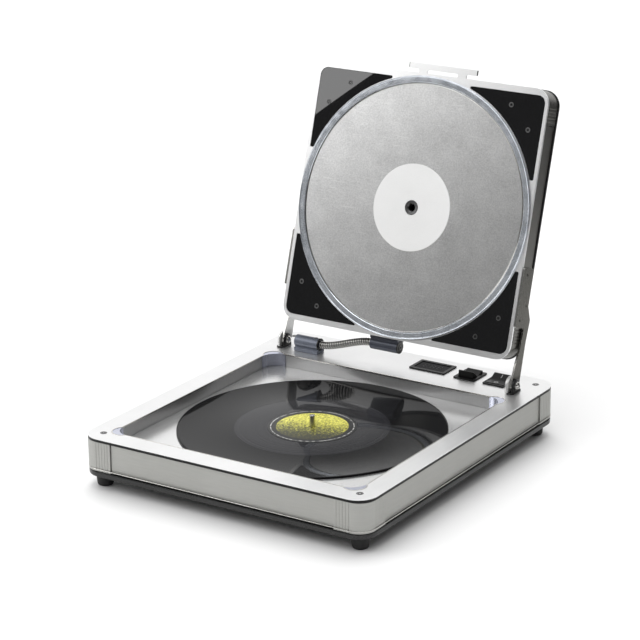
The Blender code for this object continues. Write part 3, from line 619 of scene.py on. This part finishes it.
# =============================== case ===============================
refined("top_skin", SILVER, 0.18, 2, "deck_plate")
refined("top_core", BLACK_PLASTIC, 0.3, 2, "deck_edge_band")
for corner in ("FL", "FR", "BL", "BR"):
    refined("corner_post_" + corner, SIDE, 0.16, 1)
    refined("tray_liner_" + corner, BLUE_GREY, 0.3, 3)
    refined("foot_" + corner, RUBBER, 0.3, 2)
for side in ("front", "left", "right", "back"):
    refined(side + "_panel", SIDE, 0.2, 1)
refined("bottom_plate", BLACK_METAL, 0.3, 2)
refined("tray_pan", TRAY_WALL, 0.2, 2)
refined("lower_plate", FLOOR_PLATE, 0.3, 2)
dress("lower_heater_mat", SILICONE)
dress("power_board", BOARD)
refined("fan_frame", BLACK_PLASTIC, 0.2, 1)
refined("fan_rotor", BLACK_PLASTIC, 0.1, 1)
refined("mains_inlet", BLACK_PLASTIC, 0.2, 1)
refined("display_bezel", BLACK_PLASTIC, 0.25, 2)
refined("selector_bezel", BLACK_PLASTIC, 0.25, 2)
refined("power_bezel", BLACK_PLASTIC, 0.25, 2)
refined("selector_rocker", BLACK_PLASTIC, 0.2, 2)
refined("power_rocker", BLACK_PLASTIC, 0.2, 2)
refined("deck_gland", PALE_SLATE, 0.2, 2)

# =============================== lid ===============================
for corner in ("AL", "AR", "BL", "BR"):
    refined("lid_corner_panel_" + corner, GLOSS_BLACK, 0.25, 2)
    refined("lid_post_" + corner, LID_SIDE_SHADED, 0.16, 1)
refined("lid_side_band", LID_SIDE_SHADED, 0.2, 1)
refined("lid_cover", BLACK_METAL, 0.15, 1)
refined("pull_tab", SILVER, 0.2, 2)
refined("lid_gland", SLATE, 0.2, 2)
for side in "LR":
    arm = refined("hinge_arm_" + side, NICKEL_DARK_REFLECTION, 0.35, 2)
    arm.data.materials.append(STEEL)
    arm.data.materials.append(PALE_STEEL)
    inward = 1 if side == "L" else -1
    for face in arm.data.polygons:            # painted light by face direction: painted dark reflection outside, painted highlight on the edges, painted lit tone inside
        flat = abs(face.normal.x) > 0.9
        face.material_index = 1 if not flat else 2 if face.normal.x * inward > 0 else 0

ROUND_STEPS = 192                             # steps round a large turned piece


def lid_ring(name, profile, paint, stands_for, radius, steps=ROUND_STEPS):
    """A turned piece of the lid; the profile is (radius, depth behind the record face)."""
    shape = rounded([(r, -d) for r, d in profile], radius, 3)
    obj = lathe(shape, steps, LID)
    return finish_piece(obj, name, paint, "lid", stands_for, smooth=35.0)


lid_ring("upper_platen", [(8.6, 1.8), (142.3, 1.8), (142.5, 1.95), (142.5, 5.3), (8.6, 5.3)],
         PLATEN, ["upper_plate"], 0.1)
lid_ring("platen_edge", [(142.6, 1.85), (142.9, 1.7), (143.9, 2.5), (143.9, 5.2), (142.6, 5.2)],
         STEEL, (), 0.12)
lid_ring("platen_ring", [(144.3, 1.8), (144.9, 1.1), (147.0, 1.0), (150.3, 0.95), (150.8, 0.7),
                         (151.2, 0.1), (151.7, 0.0), (152.2, 0.8), (151.8, 2.1), (147.0, 2.1),
                         (147.0, 5.0), (144.3, 5.0)],
         CLEAR_RING, ["plate_ring"], 0.28)
lid_ring("lid_label", [(8.6, 1.45), (17.8, 1.45), (18.0, 1.52), (18.3, 1.52), (18.5, 1.45),
                       (50.4, 1.45), (50.7, 1.75), (8.6, 1.75)],
         CARD, ["lid_label_disc"], 0.03)
lid_ring("bushing_eye", [(4.3, 2.2), (5.4, 1.3), (8.2, 1.0), (8.3, 1.4), (8.3, 5.3), (5.4, 5.3),
                         (5.4, 9.0), (4.3, 9.0)],
         DARK_STEEL, ["centre_bushing"], 0.12, 64)


# =============================== record ===============================
def turned_record(name, profile, paint, stands_for=()):
    """A turned piece of the record; the profile is (radius, height above the floor)."""
    obj = lathe([(r, z - DISC.z) for r, z in profile], ROUND_STEPS, at(DISC.x, DISC.y, DISC.z))
    return finish_piece(obj, name, paint, "record", stands_for, smooth=25.0, even=False)


turned_record("record_grooves",
              [(R_WAX, 46.58), (R_WAX + 0.4, 46.52), (R_TRACKS, 46.52), (148.5, 46.8),
               (150.0, 46.78), (150.55, 46.6), (R_RIM, 46.2), (R_RIM, 45.4), (150.55, 45.0),
               (150.0, 44.85), (148.5, 44.85), (R_TRACKS, 45.1), (R_WAX, 45.0)],
              VINYL, ["record"])
turned_record("record_inner_band",
              [(R_LABEL, 46.60), (51.0, 46.56), (R_WAX - 0.5, 46.56), (R_WAX - 0.1, 46.5),
               (R_WAX - 0.1, 45.0), (R_LABEL, 45.0)], INNER_BAND)
turned_record("record_centre",
              [(3.7, 46.62), (R_LABEL - 0.05, 46.62), (R_LABEL - 0.05, 44.9), (3.7, 44.9)],
              DEAD_WAX)
turned_record("record_label_print",
              [(3.75, 46.9), (49.7, 46.9), (49.85, 46.86), (49.85, 46.67), (3.75, 46.67)],
              LABEL_PRINT, ["record_label"])
pin = lathe(rounded([(0, 0.2), (2.55, 0.2), (3.05, -0.3), (3.3, -7.0), (3.5, -12.0), (3.5, -18.0),
                     (0, -18.0)], [0, 0.2, 0.3, 0.5, 0.3, 0, 0], 4), 64, at(DISC.x, DISC.y, DECK_Z))
finish_piece(pin, "spindle_pin", STEEL, "base", ["spindle"])


# =============================== small shapes ===============================
def merged(parts):
    """Several new meshes as one object."""
    bm = bmesh.new()
    for part in parts:
        bm.from_mesh(part.data)
        bpy.data.objects.remove(part, do_unlink=True)
    return from_bmesh(bm)


def screw(name, place, radius, height, paint, body, socket, sink=0.6):
    """A screw head with a real hexagon socket; place has Z along the screw, outwards."""
    rim = plate([circle(radius, 28), circle(radius * socket, 6)], -sink, height, place,
                min(0.3, height * 0.45), 2)
    bed = plate([circle(radius * (socket + 0.1), 16)], -sink, height * 0.25 - 0.15, place)
    return finish_piece(merged([rim, bed]), name, paint, body)


def sideways(x, y, z, sign=1):
    """A place whose Z points along +X, or along -X for sign -1."""
    return at(x, y, z) @ Matrix.Rotation(math.radians(90.0 * sign), 4, "Y")


def slab(name, loops, z0, z1, matrix, width, paint, body, segments=2, stands_for=()):
    """A finished piece from flat outlines between the heights z0 and z1."""
    obj = plate(loops, z0, z1, matrix, width, segments)
    return finish_piece(obj, name, paint, body, stands_for)


def framed(cx, cy, w, h, r, n=6):
    """A rectangle with round corners."""
    x, y = w / 2, h / 2
    return rounded([(cx - x, cy - y), (cx + x, cy - y), (cx + x, cy + y), (cx - x, cy + y)], r, n)


# =============================== case details ===============================
EDGE_R = 22.0                                 # corner radius of the bottom plate
plate_high = high("bottom_plate")
BOTTOM_X, BOTTOM_Y = plate_high.x, plate_high.y - BASE_Y
# a bright steel rim round the bottom plate's top edge: a painted highlight for light caught on the
# black plate's rounded edge
slab("bottom_plate_highlight_rim", [framed(0, 0, 2 * BOTTOM_X + 0.3, 2 * BOTTOM_Y + 0.3, EDGE_R, 10),
                          framed(0, 0, 2 * BOTTOM_X - 2.0, 2 * BOTTOM_Y - 2.0, EDGE_R - 1.2, 10)],
     plate_high.z - 0.75, plate_high.z + 0.2, at(0, BASE_Y, 0), 0.42, STEEL, "base",
     3)
panel_low = low("front_panel").z
slab("case_sill", [framed(0, 0, 2 * CASE_X - 6.6, 2 * CASE_Y - 6.6, 19.0, 8),
                   framed(0, 0, 2 * CASE_X - 12.0, 2 * CASE_Y - 12.0, 16.5, 8)],
     plate_high.z + 0.25, panel_low - 0.15, at(0, BASE_Y, 0), 0.2, BLACK_METAL, "base")

DECK_SCREW_X, DECK_SCREW_Y = 164.5, 189.5
PIN_DOT_X, PIN_DOT_Y = 153.0, 144.0           # the small dot on the rear deck
corners = [(sx * DECK_SCREW_X, sy * DECK_SCREW_Y) for sx in (-1, 1) for sy in (-1, 1)]
for number, (x, y) in enumerate(corners, 1):
    # a dark ring round each deck screw: painted shade for the groove round its head
    slab("deck_screw_ring_%d" % number, [circle(3.9, 40), circle(2.6, 40)], -0.1, 0.15,
         at(x, BASE_Y + y, DECK_Z), 0.1, DARK_STEEL, "base")
    screw("deck_screw_%d" % number, at(x, BASE_Y + y, DECK_Z), 2.4, 0.25, DARK_STEEL, "base",
          0.5)
screw("deck_pin_dot", at(PIN_DOT_X, BASE_Y + PIN_DOT_Y, DECK_Z), 1.5, 0.25, DARK_STEEL, "base",
      0.4)

LOBE_IN, LOBE_R = 9.3, 13.2                   # the tray's round corner reliefs
PLATE_GAP = 0.4                               # the lower plate stops this far from the tray's edge


def tray_line(grow):
    """The tray's edge: straight runs and a round relief at each corner, moved out by grow."""
    x = high("lower_plate").x + PLATE_GAP
    y0, y1 = low("lower_plate").y - BASE_Y - PLATE_GAP, high("lower_plate").y - BASE_Y + PLATE_GAP
    cx, cy0, cy1, r = x - LOBE_IN, y0 + LOBE_IN, y1 - LOBE_IN, LOBE_R + grow
    reach = math.degrees(math.acos((LOBE_IN + grow) / r))
    line = []
    for sx, cy, a in ((1, cy1, -reach), (-1, cy1, 90 - reach), (-1, cy0, 180 - reach),
                      (1, cy0, 270 - reach)):
        line += arc(sx * cx, cy, r, a, a + 90 + 2 * reach, 16)
    return line


slab("tray_lip", [tray_line(-0.05), tray_line(-1.25)], DECK_Z - 1.3, DECK_Z + 0.22,
     at(0, BASE_Y, 0), 0.5, STEEL, "base", 3)

# =============================== lid details ===============================
# the corner panels: outer sides, the arc against the plate, and where the arc ends
PANEL_X, PANEL_U0, PANEL_U1, PANEL_ARC, PANEL_TIP = 148.7, 146.3, 146.9, 153.4, 52.0
# the silver frame: its round hole, half sizes and corner radius
HOLE_R, FRAME_X, FRAME_U, FRAME_R = 147.6, 153.0, 154.0, 18.5
FRAME_FRONT, FRAME_BACK = -2.4, -5.4          # z in LID space
FRAME_ROUND = 1.9                             # radius of its rounded front edges
LID_U0 = 0.6                                  # the lid's middle along u


def corner_opening(sx, su, grow):
    """Outline of one corner opening of the lid frame: two straight sides and an arc."""
    x, u = PANEL_X + grow, (PANEL_U1 if su > 0 else PANEL_U0) + grow
    r, tip = PANEL_ARC - grow, PANEL_TIP - grow
    inner = arc(0, 0, r, math.degrees(math.asin(tip / r)), math.degrees(math.acos(tip / r)), 32)
    points = inner + [(tip, u), (x, u), (x, tip)]
    shape = rounded(points, [1.8] + [0.0] * (len(inner) - 2) + [1.8, 1.6, 9.7, 1.6], 8)
    turned_way = [(sx * px, su * pu) for px, pu in shape]
    return turned_way if sx * su > 0 else turned_way[::-1]


def make_bezel():
    """The silver frame round the upper plate, its front edges rounded to a bead."""
    loops = [framed(0, LID_U0, 2 * FRAME_X, 2 * FRAME_U, FRAME_R, 16), circle(HOLE_R, 160)]
    loops += [corner_opening(sx, su, 0.3) for sx in (-1, 1) for su in (-1, 1)]
    flat = plate(loops, FRAME_BACK, FRAME_FRONT)
    bm = bmesh.new()
    bm.from_mesh(flat.data)
    bpy.data.objects.remove(flat, do_unlink=True)
    edges = [e for e in bm.edges if min(v.co.z for v in e.verts) > (FRAME_FRONT - 0.01) * MM
             and len(e.link_faces) == 2 and e.calc_face_angle(0.0) > 1.0]
    bevel(bm, edges, FRAME_ROUND, 7)
    finish_piece(from_bmesh(bm, LID), "lid_bezel_frame", SILVER, "lid",
                 ["lid_bezel"])


def lid_slab(name, loops, d0, d1, width, paint):
    """A flat piece of the lid between the depths d0 and d1; loops are (x, u)."""
    return slab(name, loops, -d1, -d0, LID, width, paint, "lid")


make_bezel()

# the lid's corner posts: outer faces, corner radius and length of each leg
POST_X, POST_U, POST_REACH, POST_LEG = 152.4, 153.4, 19.8, 38.9
PANEL_FACE = 2.8                              # depth of the corner panels' face
PANEL_SCREWS = ((107.0, 132.5), (132.5, 107.0))
for tag, sx, su in (("AL", -1, -1), ("AR", 1, -1), ("BL", -1, 1), ("BR", 1, 1)):
    x, u, r = POST_X - 0.4, POST_U - 0.4, POST_REACH - 1.2
    outline = arc(x - r, u - r, r, 0, 90, 10) + [(x - POST_LEG, u), (x - POST_LEG, u - 3.6)]
    outline += arc(x - r - 1.0, u - r - 1.0, r - 2.6, 90, 0, 10)
    outline += [(x - 3.6, u - POST_LEG), (x, u - POST_LEG)]
    if sx * su < 0:
        outline = outline[::-1]
    shade_shim = [(sx * px, LID_U0 + su * pu) for px, pu in outline]
    # black shims in the gap behind the frame's corners: painted shade where the recess falls dark
    lid_slab("lid_corner_shade_shim_" + tag, [shade_shim], 5.65, 7.85, 0.0, BLACK_METAL)
    for number, (px, pu) in enumerate(PANEL_SCREWS, 1):
        face = LID @ at(sx * px, su * pu, -PANEL_FACE)
        slab("panel_eyelet_%s_%d" % (tag, number), [circle(3.0, 36), circle(1.7, 36)],
             -0.1, 0.35, face, 0.15, DARK_STEEL, "lid")
        screw("panel_screw_%s_%d" % (tag, number), face, 1.7, 0.1, BLACK_METAL, "lid",
              0.55)

ARM_OUT = high("hinge_arm_R").x
ARM_SCREWS = ((-54.0, 12.6), (-89.0, 21.4), (-106.0, 10.8))     # (u, depth)
for side, sx in (("L", -1), ("R", 1)):
    for number, (u, d) in enumerate(ARM_SCREWS, 1):
        spot = LID @ Vector((sx * ARM_OUT * MM, u * MM, -d * MM))
        turn = Matrix.Translation(spot) @ Matrix.Rotation(math.radians(90.0 * sx), 4, "Y")
        screw("arm_screw_%s_%d" % (side, number), turn, 1.5, 0.35, NICKEL_DARK_REFLECTION, "lid", 0.5)

# the dark end caps of the pull tab's finger slot
SLOT_END, SLOT_U, SLOT_HIGH = 45.15, 163.4, 6.2
TAB_FRONT, TAB_BACK = 26.15, 27.95            # depths
for side, sx in (("L", -1), ("R", 1)):
    lid_slab("tab_end_" + side, [framed(sx * SLOT_END, SLOT_U, 0.5, SLOT_HIGH, 0.2, 2)], TAB_FRONT,
             TAB_BACK, 0.08, BLACK_METAL)


# =============================== hinges ===============================
def hinge_outline(r, foot):
    """Side view of an ear: a half round on straight legs down to the deck."""
    legs = DECK_Z - HINGE.z
    return arc(0, 0, r, 0, 180, 24) + [(-r - foot, legs * 0.7), (-r - foot, legs), (r + foot, legs),
                                       (r + foot, legs * 0.7)]


def ear(name, x0, x1, outline, width, paint, slot, stands_for=()):
    """A plate across X at the hinge; the outline is (y, z) about the pin."""
    turn = Matrix(((0, 0, 1, 0), (1, 0, 0, 0), (0, 1, 0, 0), (0, 0, 0, 1)))
    place = at(0, HINGE.y, HINGE.z) @ turn
    return slab(name, [outline], x0, x1, place, width, paint, "base", 3, stands_for)


# from left to right at each hinge: the silver ear, the arm between them, the cheek, painted black
# as a painted dark reflection of its outer face
HINGES = (("L", -1, (-159.4, -156.1), (-153.1, -151.3)),
          ("R", 1, (148.9, 153.1), (156.1, 158.9)))
for side, sx, ear_x, disc_x in HINGES:
    ear("hinge_ear_" + side, *ear_x, hinge_outline(10.0, 0.0), 1.1, PALE_STEEL, "steel",
        stands_for=["hinge_bracket_" + side])
    # the cheek's black is a painted dark reflection
    ear("hinge_cheek_" + side, *disc_x, hinge_outline(7.6, 0.4), 0.8, BLACK_METAL, "black_metal")
    outer = disc_x[1]
    foot_x = (ear_x[0] + outer) / 2 + sx * 1.2
    slab("hinge_foot_" + side, [framed(foot_x, 0, 9.6, 21.5, 3.2)], DECK_Z + 0.1, DECK_Z + 1.9,
         at(0, HINGE.y, 0), 0.6, BLACK_METAL, "base", 3)
    washer = lathe(rounded([(2.4, 0), (5.9, 0), (5.9, 0.9), (2.4, 0.9)], 0.25, 3), 40,
                   sideways(outer - 0.1, HINGE.y, HINGE.z))
    finish_piece(washer, "hinge_washer_" + side, DARK_STEEL, "base")
    dome = lathe(rounded([(0, 3.1), (1.5, 3.0), (3.6, 1.9), (4.5, 0.4), (4.5, 0), (0, 0)],
                         [0, 0.8, 1.4, 0.8, 0.2, 0], 4), 40,
                 sideways(outer + 0.7, HINGE.y, HINGE.z), closed=False)
    finish_piece(dome, "hinge_bolt_" + side, STEEL, "base", smooth=50.0)
    screw("hinge_socket_" + side, sideways(outer + 3.55, HINGE.y, HINGE.z), 1.5, 0.25, DARK_STEEL,
          "base", 0.6)
    screw("hinge_nut_" + side, sideways(ear_x[0] + 0.1, HINGE.y, HINGE.z, -1), 4.2, 1.9, DARK_STEEL,
          "base", 0.55, sink=0.0)
    pin = lathe([(0, 0), (2.5, 0), (2.5, 9.0), (0, 9.0)], 32,
                sideways(ear_x[0] + 0.3, HINGE.y, HINGE.z), closed=False)
    finish_piece(pin, "hinge_pin_" + side, STEEL, "base")

# =============================== armoured cable ===============================
CABLE_R, PITCH, RIDGE = 4.7, 3.0, 0.9         # PITCH is the length of one turn of the strip
GLAND_Y, GLAND_Z = 151.6, 71.0                # axis of the deck gland
LID_GLAND_U, LID_GLAND_D = -163.2, 21.6       # axis of the lid gland
GLAND_END = Vector((high("deck_gland").x + 0.3, GLAND_Y + BASE_Y, GLAND_Z))
LID_GLAND_END = LID @ (Vector((0.0, LID_GLAND_U, -LID_GLAND_D)) * MM) / MM
LID_GLAND_END.x = low("lid_gland").x - 0.3


def cable_point(t):
    """The cable leaves each gland along X and eases over from one to the other."""
    ease = t * t * (3.0 - 2.0 * t)
    return Vector((GLAND_END.x + (LID_GLAND_END.x - GLAND_END.x) * t,
                   GLAND_END.y + (LID_GLAND_END.y - GLAND_END.y) * ease,
                   GLAND_END.z + (LID_GLAND_END.z - GLAND_END.z) * ease))


def make_cable():
    """Interlocked steel strip: rounded turns with a narrow valley that winds along the tube; the
    valley faces are painted black as painted shade.
    """
    rows_a_turn, around, samples = 8, 28, 200
    path = [cable_point(i / samples) for i in range(samples + 1)]
    reach = sum((b - a).length for a, b in zip(path, path[1:]))
    rows = int(reach / PITCH * rows_a_turn)
    bm = bmesh.new()
    rings = []
    for i in range(rows + 1):
        t = i / rows
        here = cable_point(t)
        way = (cable_point(min(1.0, t + 0.01)) - cable_point(max(0.0, t - 0.01))).normalized()
        across = way.cross(Vector((0, 0, 1))).normalized()
        lift = across.cross(way)
        ring = []
        for k in range(around):
            angle = 2 * math.pi * k / around
            phase = (i / rows_a_turn + k / around) % 1.0
            r = CABLE_R - RIDGE * (1.0 - math.sin(math.pi * phase) ** 0.8)
            out = across * math.cos(angle) + lift * math.sin(angle)
            ring.append(bm.verts.new((here + out * r) * MM))
        rings.append(ring)
    for i, (one, two) in enumerate(zip(rings, rings[1:])):
        for k in range(around):
            face = bm.faces.new((one[k], one[(k + 1) % around], two[(k + 1) % around], two[k]))
            phase = ((i + 0.5) / rows_a_turn + (k + 0.5) / around) % 1.0
            # valley faces take black metal: painted shade in the crease between turns
            face.material_index = 1 if abs(phase - 0.5) > 0.3 else 0
    bm.faces.new(rings[0][::-1])
    bm.faces.new(rings[-1])
    bmesh.ops.recalc_face_normals(bm, faces=bm.faces)
    obj = from_bmesh(bm)
    obj.name = obj.data.name = "conduit"
    obj.data.materials.append(STEEL)
    obj.data.materials.append(BLACK_METAL)
    obj.data.shade_smooth()
    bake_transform(obj)
    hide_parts("armoured_cable")


make_cable()
gland_high, lid_gland_high = high("deck_gland"), high("lid_gland")
collar = lathe(rounded([(5.0, 0), (7.5, 0), (7.5, 1.6), (5.0, 1.6)], 0.3, 3), 48,
               sideways(gland_high.x - 1.5, GLAND_END.y, GLAND_END.z))
finish_piece(collar, "deck_gland_collar", BLACK_METAL, "base")
screw("deck_gland_screw", at(gland_high.x - 6.0, GLAND_END.y, GLAND_END.z + 7.25), 2.3, 0.25,
      BLACK_METAL, "base", 0.5)
collar = lathe(rounded([(0.0, 0), (7.5, 0), (7.5, 1.2), (0.0, 1.2)], [0, 0.3, 0.3, 0], 3), 48,
               sideways(lid_gland_high.x - 0.9, LID_GLAND_END.y, LID_GLAND_END.z), closed=False)
finish_piece(collar, "lid_gland_cap", BLACK_METAL, "lid")
screw("lid_gland_screw", sideways(lid_gland_high.x + 0.3, LID_GLAND_END.y, LID_GLAND_END.z),
      3.0, 0.5, DARK_STEEL, "lid", 0.5)

# =============================== switches and display ===============================
ROCK = 10.5                                   # the rocker rests tilted this far, degrees
MARK_Y, MARK_Z = 7.2, 4.0                     # middle of a mark, seen from the rocker's pin
SLOPE = math.degrees(math.atan2(4.96 - 2.2, 12.5 - 3.6))      # of each half of the rocker's top
rocker = (Matrix.Translation(Vector(JOINTS["power_rock"]["pos_m"]))
          @ Matrix.Rotation(math.radians(ROCK), 4, "X"))
for name, sy, loops in (("power_mark_on", 1, [framed(0, 0, 0.9, 5.2, 0.3, 2)]),
                        ("power_mark_off", -1, [circle(2.6, 36), circle(1.85, 36)])):
    face = rocker @ at(0, sy * MARK_Y, MARK_Z) @ Matrix.Rotation(math.radians(sy * SLOPE), 4, "X")
    slab(name, loops, 0.0, 0.42, face, 0.0, INK, "power_switch")

TICK_STEP, TICK_GAP, BAR_GAP = 3.6, 2.2, 2.4
selector, selector_low = middle("selector_bezel"), low("selector_bezel")
selector_back = selector.y + (high("selector_bezel").y - selector_low.y) / 2
for number, step in enumerate((-2, -1, 0, 1, 2), 1):
    slab("selector_mark_back_%d" % number, [framed(step * TICK_STEP, 0, 0.6, 1.5, 0.15, 2)],
         0.02, 0.14, at(selector.x, selector_back + TICK_GAP, DECK_Z), 0.0, DARK_INK, "base")
slab("selector_mark_front", [framed(-0.5, 0, 15.0, 0.7, 0.3, 3)], 0.02, 0.14,
     at(selector.x, selector_low.y - BAR_GAP, DECK_Z), 0.0, DARK_INK, "base")

# the window's glass, with three unlit seven-segment digits on it
centre = middle("display_window")
window = high("display_window") - low("display_window")
GLASS_TOP = DECK_Z + 0.75
slab("display_glass", [framed(centre.x, centre.y, window.x + 0.5, window.y + 0.5, 0.8)],
     low("display_window").z, GLASS_TOP, at(0, 0, 0), 0.2, DISPLAY_GLASS, "base", 2,
     ["display_window"])
SEGMENT, BAR, DIGIT_STEP = 4.6, 0.75, 9.0
for digit in range(3):
    bars = []
    for u, v, flat in ((0, 1, True), (0, 0, True), (0, -1, True), (-0.5, 0.5, False),
                       (0.5, 0.5, False), (-0.5, -0.5, False), (0.5, -0.5, False)):
        w, h = (SEGMENT - 1.2, BAR) if flat else (BAR, SEGMENT - 1.2)
        bars.append(plate([framed(u * SEGMENT, v * SEGMENT, w, h, 0.3, 2)], 0.02, 0.16))
    obj = merged(bars)
    obj.data.transform(at(centre.x + (digit - 1) * DIGIT_STEP, centre.y, GLASS_TOP))
    finish_piece(obj, "display_digit_%d" % (digit + 1), DARK_INK, "base")
